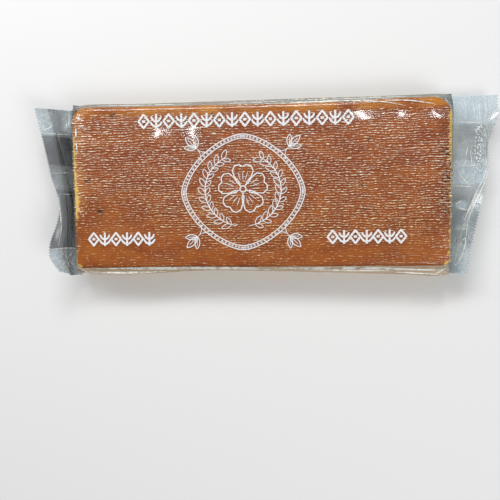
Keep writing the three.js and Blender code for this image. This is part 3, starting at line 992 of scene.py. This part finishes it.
def toasted(points):
    """1 on the toasted crust, which wraps over the slab's long edges, and 0 on its yellow
    sides, which show as a thin line along parts of its two ends."""
    x, y, z = points.T
    ragged = 0.3 * SLAB_RELIEF(x * 2, y * 2)
    left_line = 1.1 * smooth(-18, -10, y) * smooth(32, 22, y) + 1.2 * np.exp(-((y + 5) / 8) ** 2)
    right_line = 0.5 + 0.9 * smooth(10, 16, y) * smooth(37, 33, y)
    front_corner = 2.2 * smooth(SLAB_FRONT + 3.5, SLAB_FRONT + 1.5, y)
    line = np.where(x < 0, left_line, right_line) + front_corner
    inside = from_end(x / (1 + SLAB_SPREAD * y)) - SLAB_GAP
    off_end = smooth(line - 0.25, line + 0.25, inside + 1.2 * ragged)
    wrapped = smooth(SLAB_TOP - 2.9, SLAB_TOP - 2.1, z + ragged)
    return off_end * wrapped


def golden(x, y):
    """Where the crust is paler and more golden: along the slab's back and left edges, and in
    broad patches of its front part."""
    back = smooth(-6.5, -3.5, y - profile(SLAB_BACK, x))
    left = 0.6 * smooth(9, 1, x - SLAB_LEFT) * smooth(-20, -5, y)
    front = 0.1 * smooth(-22, -34, y) + 0.1 * smooth(26, 8, np.hypot(x + 76, 1.2 * (y + 26)))
    uneven = 0.75 + 0.3 * TOAST_PATCHES(x, y)
    return np.clip(np.maximum(np.maximum(0.75 * back, left), front) * uneven, 0, 1)


def make_slab():
    points, faces = slab_mesh()
    slab = add_piece("nougat_slab", points, faces, nougat_material(), sharp_degrees=70)
    x, y, z = points.T
    set_attribute(slab, "toast", toasted(points))
    set_attribute(slab, "golden", golden(x, y))
    set_attribute(slab, "burnt", burnt_spots(x, y) * (z > SLAB_TOP - 2.4))


# The white print: ribbons of ink under the film, laid out from a few strokes and turns
PRINT_UNDER_FILM = 0.05
RIBBON_THICKNESS = 0.05
RIBBON_STEP = 0.5
BOW_POINTS = 24
MEDALLION = (-8.2, -2.0)
FRIEZE_UNITS = 17
ROW_WEIGHT = 1.0
FRAME_HALF_LENGTH = 30
FRAME_HALF_WIDTH = 28
FRAME_FULLNESS = 1.6


class Ribbons:
    """Gathers strokes as closed ribbons that follow a surface."""

    def __init__(self):
        self.surface = under_film
        self.points = []
        self.faces = []
        self.count = 0

    def stroke(self, line, width, closed=False, taper=0.0):
        """Adds a ribbon along a line of points, thinner towards its ends by taper."""
        line = respaced(np.asarray(line, dtype=float), closed)
        if closed:
            along = np.roll(line, -1, axis=0) - np.roll(line, 1, axis=0)
        else:
            along = np.gradient(line, axis=0)
        along /= np.maximum(np.hypot(along[:, 0], along[:, 1])[:, None], 1e-6)
        across = np.stack([-along[:, 1], along[:, 0]], -1)
        share = np.linspace(-1, 1, len(line))
        half = width / 2 * (1 - taper * share ** 2)[:, None]
        left, right = line + across * half, line - across * half
        ring = []
        for side, drop in ((left, 0), (left, RIBBON_THICKNESS), (right, RIBBON_THICKNESS), (right, 0)):
            ring.append(self.surface(side, drop))
        self.points.append(np.stack(ring, axis=1).reshape(-1, 3))
        self.join(len(line), closed)

    def join(self, stations, closed):
        faces = []
        for i in range(stations if closed else stations - 1):
            here, after = 4 * i, 4 * ((i + 1) % stations)
            for corner in range(4):
                beside = (corner + 1) % 4
                faces.append((here + corner, after + corner, after + beside, here + beside))
        if not closed:
            last = 4 * (stations - 1)
            faces.append((0, 1, 2, 3))
            faces.append((last + 3, last + 2, last + 1, last))
        self.faces.extend(tuple(self.count + k for k in face) for face in faces)
        self.count += 4 * stations


def under_film(points, drop):
    """Points of print, just below the film over the slab."""
    height = film_height(points[:, 0], points[:, 1]) - PRINT_UNDER_FILM - drop
    return np.column_stack([points, height])


def respaced(line, closed):
    """The same line with its points about one ribbon step apart."""
    if closed:
        line = np.concatenate([line, line[:1]])
    length = np.concatenate([[0], np.cumsum(np.hypot(*np.diff(line, axis=0).T))])
    count = max(3, int(round(length[-1] / RIBBON_STEP)) + 1)
    at = np.linspace(0, length[-1], count)
    line = np.column_stack([np.interp(at, length, line[:, axis]) for axis in range(2)])
    return line[:-1] if closed else line


def bowed(start, end, bow):
    """Points from start to end on a curve that swings out to one side by bow."""
    start, end = np.array(start, dtype=float), np.array(end, dtype=float)
    share = np.linspace(0, 1, BOW_POINTS)[:, None]
    aside = np.array([-(end - start)[1], (end - start)[0]])
    aside /= max(np.hypot(*aside), 1e-6)
    return lerp(start, end, share) + aside * 4 * bow * share * (1 - share)


def turned(line, degrees, middle=(0, 0)):
    angle = math.radians(degrees)
    turn = np.array([[math.cos(angle), math.sin(angle)], [-math.sin(angle), math.cos(angle)]])
    return np.asarray(line) @ turn + np.asarray(middle)


def leaf(length, width):
    """The outline of a leaf that points along X from the origin."""
    out = bowed((0, 0), (length, 0), width / 2)
    back = bowed((length, 0), (0, 0), width / 2)
    return np.concatenate([out[:-1], back[:-1]])


def draw_sprig(ink, foot, height, width):
    """An upright stem with two pairs of leaves, as bold as a line of type."""
    x, y = foot
    ink.stroke([(x, y), (x, y + height * 0.98)], width)
    for level, reach in ((0.12, 0.40), (0.46, 0.34)):
        for side in (-1, 1):
            start = (x, y + height * level)
            end = (x + side * height * reach, y + height * (level + 0.36))
            ink.stroke(bowed(start, end, -side * height * 0.07), width, taper=0.35)


def draw_diamond(ink, middle, height, width):
    """A diamond outline with a short bar across its middle."""
    x, y = middle
    half, wide = height * 0.46, height * 0.36
    ink.stroke([(x, y + half), (x + wide, y), (x, y - half), (x - wide, y)], width, closed=True)
    ink.stroke([(x - wide * 0.3, y), (x + wide * 0.3, y)], width * 1.2)


def draw_row(ink, x_from, x_to, y_from, y_to, units):
    """A row of diamonds and sprigs in turn."""
    height = y_to - y_from
    pitch = (x_to - x_from) / units
    for unit in range(units):
        x = x_from + pitch * (unit + 0.5)
        if unit % 2:
            draw_sprig(ink, (x, y_from), height, ROW_WEIGHT)
        else:
            draw_diamond(ink, (x, (y_from + y_to) / 2), height, ROW_WEIGHT)


def frame_line(scale, count=220):
    """A rounded frame between an ellipse and a diamond, round the medallion."""
    angle = np.linspace(0, 2 * math.pi, count, endpoint=False)
    c, s = np.cos(angle), np.sin(angle)
    power = 2 / FRAME_FULLNESS
    x = FRAME_HALF_LENGTH * np.sign(c) * np.abs(c) ** power
    y = FRAME_HALF_WIDTH * np.sign(s) * np.abs(s) ** power
    return np.column_stack([x, y]) * scale + MEDALLION


def draw_blossom(ink, middle):
    """An almond blossom: five petals with veins, and a ring of stamens."""
    half = np.array([(10.8, 0), (11.7, 1.8), (11.2, 4.0), (8.8, 5.1), (5.8, 4.0), (2.9, 1.5)])
    petal = np.concatenate([half[::-1], half[1:] * (1, -1)])
    for petal_turn in range(5):
        degrees = 90 + 72 * petal_turn
        ink.stroke(turned(petal, degrees, middle), 0.55)
        for vein in (-16, 0, 16):
            ink.stroke(turned([(4.4, 0), (8.4, 0)], degrees + vein, middle), 0.32, taper=0.5)
        ink.stroke(turned([(1.9, 0), (3.7, 0)], degrees + 36, middle), 0.6)
    circle = [turned([(1.5, 0)], 30 * k, middle)[0] for k in range(12)]
    ink.stroke(circle, 0.6, closed=True)


def draw_spray(ink, middle, side):
    """A curved stem of leaves that half rounds the blossom on one side."""
    angles = np.linspace(-80, 62, 34)
    stem = np.array([turned([(18.5, 0)], a if side > 0 else 180 - a, middle)[0] for a in angles])
    stem[:, 1] = middle[1] + (stem[:, 1] - middle[1]) * 0.95
    ink.stroke(stem, 0.5, taper=0.4)
    for k in range(2, 33, 3):
        way = stem[k + 1] - stem[k - 1]
        heading = math.degrees(math.atan2(way[1], way[0]))
        for lean, size in ((38, 5.0), (-38, 4.2)):
            outline = turned(leaf(size, size * 0.42), heading + lean, stem[k])
            ink.stroke(outline, 0.36, closed=True)


def draw_corner(ink, at, degrees):
    """Three leaves that fan out from one point, with a curled stem."""
    for lean, size in ((-42, 6.0), (0, 7.5), (42, 6.0)):
        ink.stroke(turned(leaf(size, size * 0.4), degrees + lean, at), 0.45, closed=True)
        ink.stroke(turned([(size * 0.2, 0), (size * 0.75, 0)], degrees + lean, at), 0.3)
    for side in (-1, 1):
        ends = turned([(0, 0), (-5.5, side * 4.0)], degrees, at)
        ink.stroke(bowed(ends[0], ends[1], side * 1.4), 0.34, taper=0.4)


def draw_medallion(ink):
    ink.stroke(frame_line(1.0), 0.5, closed=True)
    ink.stroke(frame_line(0.93), 0.5, closed=True)
    for bead in frame_line(0.965, 96):
        ring = [turned([(0.42, 0)], 60 * k, bead)[0] for k in range(6)]
        ink.stroke(ring, 0.4, closed=True)
    draw_blossom(ink, (MEDALLION[0], MEDALLION[1] + 1.5))
    for side in (-1, 1):
        draw_spray(ink, (MEDALLION[0], MEDALLION[1] + 1.0), side)
    for side_x in (-1, 1):
        for side_y in (-1, 1):
            corner = (MEDALLION[0] + side_x * 22.5, MEDALLION[1] + side_y * 21.5)
            draw_corner(ink, corner, math.degrees(math.atan2(side_y, side_x)))


def ink_material():
    n = Nodes("white_print")
    shader = n.node("BsdfPrincipled", Roughness=0.5)
    shader.inputs["Base Color"].default_value = (0.88, 0.87, 0.90, 1)
    return n.finish(shader.outputs[0])


def make_print():
    ink = Ribbons()
    draw_row(ink, -59.5, 45.7, 29.4, 36.6, FRIEZE_UNITS)
    draw_row(ink, -85.2, -51.8, -27.6, -20.8, 6)
    draw_row(ink, 32.2, 70.1, -27.6, -20.8, 7)
    draw_medallion(ink)
    add_ribbons("white_print", ink, ink_material())


def add_ribbons(name, ribbons, material):
    points = np.concatenate(ribbons.points)
    piece = add_piece(name, points, ribbons.faces, material, sharp_degrees=None)


# Sharp creases in the film, as thin raised white ridges, each a line of points and a width: over the
# slab's two long edges in X and Y, and on the fins as listed with them. Many are painted highlights, white
# where a fold or lip would catch the light.
CREASE_LIFT = 0.04
EDGE_CREASES_AND_GLINTS = [
    ([(-86.6, -40.5), (-71, -41.0), (-47, -40.6)], 0.6), ([(-84, -41.0), (-66, -41.5), (-52, -41.1)], 0.3),
    ([(-82, -38.9), (-60, -38.7), (-40, -38.8), (-10, -38.8), (1, -39.3)], 1.1),
    ([(-64, -39.4), (-52, -39.2), (-38, -39.4)], 0.7), ([(-34, -39.5), (-15, -39.4), (10, -39.9)], 0.5),
    ([(7, -39.3), (31, -39.5), (43.4, -39.4), (55, -39.6), (86, -40.9)], 1.3),
    ([(20, -40.2), (45, -40.7), (64, -41.0)], 0.6), ([(65, -41.6), (86.7, -42.9)], 0.6),
    ([(72, -40.6), (88, -40.2)], 0.4), ([(84, -42.8), (90.4, -39.0)], 0.5),
    # Among these, the short upright lines near the slab's left end are painted highlights.
    ([(-91.0, -38.0), (-86.5, -41.0)], 0.5), ([(-90.2, 30.5), (-90.3, 26)], 0.8),
    ([(-90.1, 24), (-89.9, 17.5)], 0.6), ([(-90.2, 35.5), (-87.5, 34.6)], 0.7),
    ([(-89.4, 31.6), (-86, 31.5)], 0.5),
    ([(-80, 41.5), (-55, 41.2), (-30, 41.3)], 0.4),
    ([(5, 40.1), (20, 40.6), (39, 41.0), (53, 40.6), (65, 38.9), (70, 37.4)], 0.7),
    ([(60, 40.6), (72, 40.2), (83, 38.2)], 0.55),
    ([(-20, 41.2), (-5, 41.2), (12, 41.8)], 0.3), ([(30, 41.9), (55, 42.2), (78, 42.3)], 0.3),
]


def over_film(points, drop):
    height = film_height(points[:, 0], points[:, 1]) + CREASE_LIFT - drop
    return np.column_stack([points, height])


def over_fin(fin):
    """A surface just above a fin's upper sheet, for points given as distance and Y."""
    def surface(points, drop):
        distance, y = points.T
        place = np.clip((y - fin["front"]) / (fin["back"] - fin["front"]), 0, 1)
        lie = sheet_offset(fin, place, distance, 0.5 + tucked(place), True)
        pleat = profile(fin["pleat"], place)
        folded = smooth(pleat - 0.2, pleat + 0.2, distance) * smooth(0.1, 1.2, pleat_overlap(fin, place))
        offset = lie + 2 * folded * PLEAT_LIFT + CREASE_LIFT - drop
        return fin_points(fin, place, distance, offset)
    return surface


def rounded(line):
    """The same line with its corners cut off twice."""
    line = np.asarray(line, dtype=float)
    for _ in range(2):
        first, second = line[:-1], line[1:]
        cut = np.stack([lerp(first, second, 0.25), lerp(first, second, 0.75)], 1).reshape(-1, 2)
        line = np.concatenate([line[:1], cut, line[-1:]])
    return line


def make_creases_and_glints():
    ribbons = Ribbons()
    surfaces = [(over_film, EDGE_CREASES_AND_GLINTS)]
    surfaces += [(over_fin(fin), fin["creases"]) for fin in (LEFT_FIN, RIGHT_FIN)]
    for surface, creases in surfaces:
        ribbons.surface = surface
        for line, width in creases:
            ribbons.stroke(rounded(line), width, taper=0.85)
    add_ribbons("film_creases_and_glints", ribbons, crease_and_glint_material())


def crease_and_glint_material():
    """Film that a sharp crease has turned white, in patches, and painted highlights on folds and lips."""
    n = Nodes("film_creases_and_glints")
    patches = n.noise(n.stretched(2.6, 2.6, 2.6), detail=2)
    milkiness = n.step(patches, 0.34, 0.55, 0.3, 0.9)
    return milky_film(n, (0.97, 0.97, 0.97), (0.88, 0.88, 0.83), milkiness, 0.2)


# The back seam: the film's two edges folded over as a flat strip under the pack
SEAM_FRONT = 1.0
SEAM_BACK = 12.5
SEAM_COLUMNS = 24
SEAM_HEIGHT = 0.04
SEAM_GAP = 0.07
SEAM_FIN_GAP = 0.06
SEAM_HANG = 0.55
SEAM_SHORT = 0.6
SEAM_WEDGE_ROWS = 4
SEAM_FIN_ROWS = 20


def make_seam():
    """The folded strip of the back seam, from one cut edge to the other."""
    share = np.arange(SEAM_COLUMNS + 1) / SEAM_COLUMNS
    across = np.concatenate([share, share[::-1]])
    layer = np.concatenate([np.zeros(SEAM_COLUMNS + 1), np.ones(SEAM_COLUMNS + 1)])
    rows = []
    for fin in (LEFT_FIN, RIGHT_FIN):
        rows.append(seam_fin_rows(fin, across, layer))
    body = []
    for x in body_rows():
        y = lerp(SEAM_FRONT, SEAM_BACK, across)
        z = SEAM_HEIGHT + SEAM_GAP * layer
        body.append(np.stack([np.full(y.shape, x), y, z], -1))
    points = np.concatenate([rows[0][::-1], np.array(body), rows[1]])
    faces = grid_faces(len(points), len(across), closed=True)
    seam = add_piece("back_seam", points, faces, seam_material())


def seam_fin_rows(fin, across, layer):
    """The strip's rows under one fin, from the slab out to the cut edge."""
    place = (lerp(SEAM_FRONT, SEAM_BACK, across) - fin["front"]) / (fin["back"] - fin["front"])
    reach = fin_reach(fin, place)
    start = np.stack([np.full(place.shape, SLAB_LEFT if fin["side"] < 0 else SLAB_RIGHT),
                      lerp(SEAM_FRONT, SEAM_BACK, across), SEAM_HEIGHT + SEAM_GAP * layer], -1)
    rows = []
    below = -FILM_GAP * 0.5 - FIN_PUFF - FIN_CRUMPLE_DEPTH - SEAM_FIN_GAP * (1 - layer)
    for step in range(1, SEAM_WEDGE_ROWS + SEAM_FIN_ROWS + 1):
        distance = WEDGE + (reach - SEAM_SHORT - WEDGE) * (step - SEAM_WEDGE_ROWS) / SEAM_FIN_ROWS
        if step <= SEAM_WEDGE_ROWS:
            distance = np.full(place.shape, WEDGE)
        loose = smooth(reach - 9, reach - 13, distance)
        offset = below * (1 - loose) - loose * (SEAM_HANG + SEAM_FIN_GAP * (1 - layer))
        point = fin_points(fin, place, distance, offset)
        if step <= SEAM_WEDGE_ROWS:
            point = lerp(start, point, step / SEAM_WEDGE_ROWS)
        rows.append(point)
    return np.array(rows)


def seam_material():
    """The doubled film of the back seam: clear, with a little milk."""
    n = Nodes("back_seam")
    return milky_film(n, (0.88, 0.88, 0.89), (0.80, 0.79, 0.84), 0.12, 0.15)


CAMERA_AT = (0.0113, -0.0198, 0.2867)
LAMP_HEIGHT = 900.0
GLINT_POWER = 0.000032
WORLD_STRENGTH = 0.33


def make_camera():
    camera = bpy.data.cameras.new("camera")
    camera.sensor_width = 36.0
    camera.lens = 40.18
    camera.clip_start = 0.01
    view = bpy.data.objects.new("camera", camera)
    view.location = CAMERA_AT
    view.rotation_euler = (math.radians(-2.23), math.radians(3.44), math.radians(-0.64))
    bpy.context.scene.collection.objects.link(view)
    bpy.context.scene.camera = view


def make_floor():
    half = 1500.0
    points = [(-half, -half, 0), (half, -half, 0), (half, half, 0), (-half, half, 0)]
    mesh = bpy.data.meshes.new("floor")
    mesh.from_pydata([tuple(v * MM for v in p) for p in points], [], [(0, 1, 2, 3)])
    floor = bpy.data.objects.new("floor", mesh)
    bpy.context.scene.collection.objects.link(floor)
    n = Nodes("floor")
    shader = n.node("BsdfPrincipled", Roughness=0.8)
    shader.inputs["Base Color"].default_value = (0.8, 0.8, 0.8, 1)
    mesh.materials.append(n.finish(shader.outputs[0]))


def make_light(name, place, target, size, power):
    light = bpy.data.lights.new(name, "AREA")
    light.shape = "RECTANGLE"
    light.size, light.size_y = size[0] * MM, size[1] * MM
    light.energy = power
    lamp = bpy.data.objects.new(name, light)
    lamp.location = [v * MM for v in place]
    way = Vector(target) - Vector(place)
    lamp.rotation_euler = way.to_track_quat("-Z", "Y").to_euler()
    bpy.context.scene.collection.objects.link(lamp)


def make_glint(name, x, y, size, power):
    """A small bright lamp that the level film mirrors to the camera at (x, y) on the face."""
    camera = [v / MM for v in CAMERA_AT]
    mirrored = (camera[0], camera[1], 2 * PACK_HEIGHT - camera[2])
    stretch = (LAMP_HEIGHT - mirrored[2]) / (PACK_HEIGHT - mirrored[2])
    place = [m + (p - m) * stretch for m, p in zip(mirrored, (x, y, PACK_HEIGHT))]
    make_light(name, place, (x, y, PACK_HEIGHT), size, power)


def make_world():
    world = bpy.data.worlds.new("world")
    bpy.context.scene.world = world
    world.use_nodes = True
    background = world.node_tree.nodes["Background"]
    background.inputs["Color"].default_value = (1, 1, 1, 1)
    background.inputs["Strength"].default_value = WORLD_STRENGTH


make_camera()
make_floor()
make_world()
make_light("key", (-250, 620, 560), (0, 0, 0), (900, 160), 7)
make_light("fill", (500, -500, 700), (0, 0, 0), (500, 500), 3.5)
for index, (x, y, size) in enumerate(GLINTS):
    make_glint(f"glint_{index}", x, y, size, size[0] * size[1] * GLINT_POWER)
scene = bpy.context.scene
scene.view_settings.view_transform = "Standard"
scene.cycles.transparent_max_bounces = 32
make_slab()
make_print()
make_seam()
make_film()
make_creases_and_glints()
